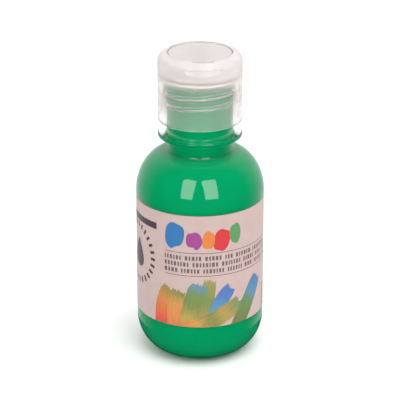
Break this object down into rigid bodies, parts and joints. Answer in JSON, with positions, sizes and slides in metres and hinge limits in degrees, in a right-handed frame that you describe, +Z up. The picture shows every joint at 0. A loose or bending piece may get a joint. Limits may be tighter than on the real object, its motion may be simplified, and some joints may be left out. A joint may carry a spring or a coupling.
{
  "type": "paint bottle",
  "caption": "Small clear squeeze bottle of artists' acrylic paint with a wrap-round label and a screw-on press-to-tilt disc closure.",
  "frame": {"origin": "on the bottle's axis at the surface it stands on", "axes": "+Z up along the bottle's axis; -Y is the side that the closure pours from"},
  "size_m": [0.049, 0.049, 0.1195],
  "materials": {
    "bottle_pet": "gloss",
    "paint": "gloss",
    "label_film": "satin",
    "washer_foam": "matte",
    "closure_pp": "satin",
    "disc_pp": "satin"
  },
  "bodies": {
    "bottle_body": {"bottle": "bottle_pet", "paint_fill": "paint", "label": "label_film"},
    "washer_body": {"seal_washer": "washer_foam"},
    "cap_body": {"cap_shell": "closure_pp"},
    "disc_body": {"disc": "disc_pp"}
  },
  "joints": [
    {"name": "cap_rise", "type": "slide", "parent": "bottle_body", "child": "washer_body", "axis": [0, 0, 1], "range_m": [0, 0.017]},
    {"name": "cap_turn", "type": "hinge", "parent": "washer_body", "child": "cap_body", "pos_m": [0, 0, 0.1064], "axis": [0, 0, 1], "range_deg": [0, 1440]},
    {"name": "disc_tilt", "type": "hinge", "parent": "cap_body", "child": "disc_body", "pos_m": [0, 0, 0.117], "axis": [-1, 0, 0], "range_deg": [0, 25]}
  ],
  "couplings": [
    {"joint": "cap_rise", "follows": "cap_turn", "m_per_rad": 0.00067375}
  ]
}
